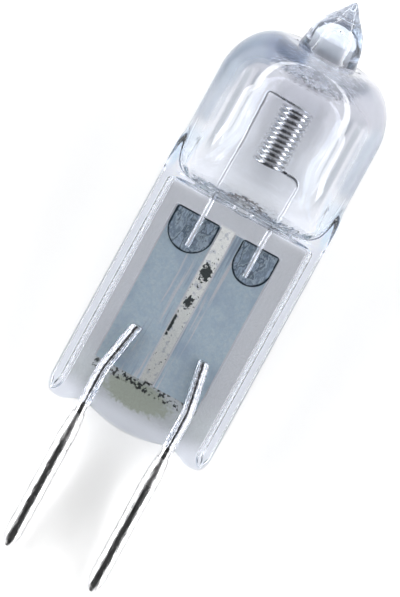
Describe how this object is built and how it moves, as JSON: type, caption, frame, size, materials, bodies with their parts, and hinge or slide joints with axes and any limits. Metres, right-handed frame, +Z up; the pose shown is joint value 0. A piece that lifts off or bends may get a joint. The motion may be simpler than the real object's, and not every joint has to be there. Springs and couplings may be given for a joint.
{
  "type": "halogen capsule bulb",
  "caption": "Two-pin halogen capsule bulb: clear quartz capsule with a sealed exhaust tip, flat pinch seal with foils, and a coiled filament standing along its axis.",
  "frame": {"origin": "middle of the bounding box at its bottom, on the surface that the lamp rests on", "axes": "+Y along the lamp as it lies, from the contact pins towards the exhaust tip; +X across the two pins; +Z up, out of the front face of the pinch. The lamp's own axis rises 9.62 degrees towards +Y, because it rests on the two pin tips and the back of its neck"},
  "size_m": [0.012, 0.0426, 0.0122],
  "materials": {
    "quartz_glass": "gloss",
    "tungsten": "satin",
    "molybdenum_foil": "satin",
    "weld_tab": "satin",
    "molybdenum_lead": "satin",
    "plated_pin": "gloss"
  },
  "bodies": {
    "root": {"glass_envelope": "quartz_glass", "filament": "tungsten", "foil_left": "molybdenum_foil", "foil_right": "molybdenum_foil", "weld_tab_left": "weld_tab", "weld_tab_right": "weld_tab", "outer_lead_left": "molybdenum_lead", "outer_lead_right": "molybdenum_lead", "contact_pin_left": "plated_pin", "contact_pin_right": "plated_pin"}
  },
  "joints": []
}
